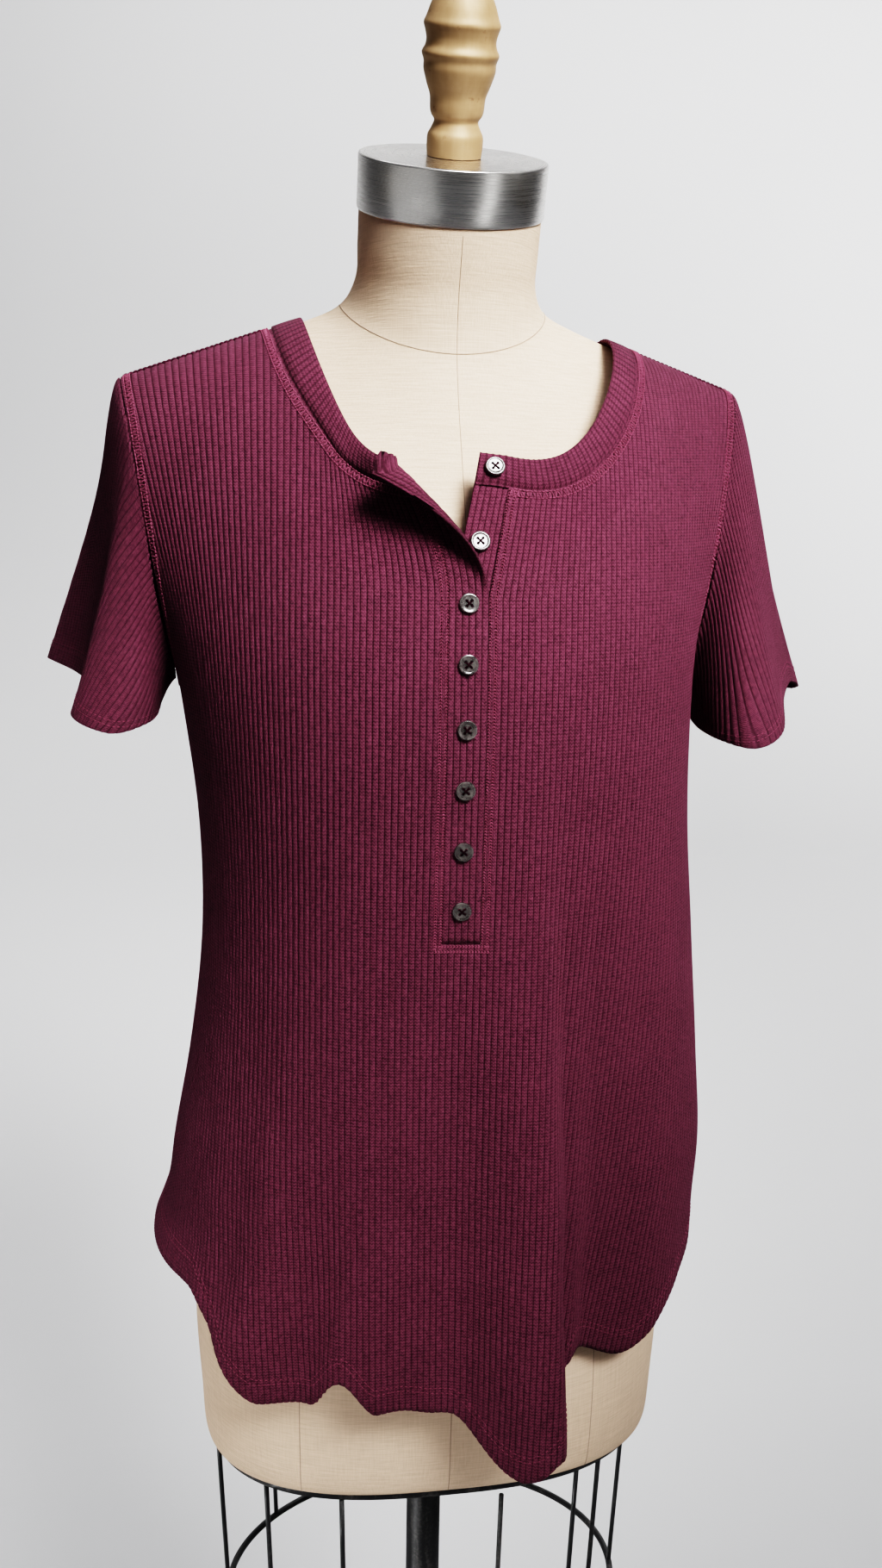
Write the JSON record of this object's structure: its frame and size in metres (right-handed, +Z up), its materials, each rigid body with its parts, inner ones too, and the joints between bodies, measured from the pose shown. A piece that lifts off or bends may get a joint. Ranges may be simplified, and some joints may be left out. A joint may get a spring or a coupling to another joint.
{
  "type": "short-sleeved henley sweater on a dress form",
  "caption": "Short-sleeved ribbed knit henley sweater with a buttoned half placket and shirttail hem, on a linen-covered limbless dress form with a neck cap, a cage and a round floor stand.",
  "frame": {"origin": "on the floor, at the centre of the base's underside, under the pole", "axes": "+Z up; -Y is the side that the sweater's front faces; +X is towards the wearer's left"},
  "size_m": [0.5379, 0.38, 1.6371],
  "materials": {
    "rib_knit": "matte burgundy rib knit, ribs about 3.7 mm apart",
    "neck_rib": "matte burgundy rib knit, two layers, ribs across the band",
    "smoky_shell": "glossy smoky grey with a raised rim",
    "linen": "natural beige linen stretched over a firm shell",
    "brushed_steel": "brushed round its axis",
    "gilt_wood": "turned wood with dull gold paint",
    "black_iron": "worn satin black paint"
  },
  "bodies": {
    "root": {"front": "rib_knit", "back": "rib_knit", "sleeve_right": "rib_knit", "sleeve_left": "rib_knit", "neckband": "neck_rib", "placket_over": "rib_knit", "placket_under": "rib_knit", "button_1": "smoky_shell", "button_2": "smoky_shell", "button_3": "smoky_shell", "button_4": "smoky_shell", "button_5": "smoky_shell", "button_6": "smoky_shell", "button_7": "smoky_shell", "button_8": "smoky_shell", "form_torso": "linen", "form_plate": "black_iron", "neck_cap": "brushed_steel", "finial": "gilt_wood", "pole": "black_iron", "base": "black_iron", "cage_hoop": "black_iron", "cage_wire_1": "black_iron", "cage_wire_2": "black_iron", "cage_wire_3": "black_iron", "cage_wire_4": "black_iron", "cage_wire_5": "black_iron", "cage_wire_6": "black_iron", "cage_wire_7": "black_iron", "cage_wire_8": "black_iron", "cage_wire_9": "black_iron", "cage_wire_10": "black_iron"}
  },
  "joints": []
}
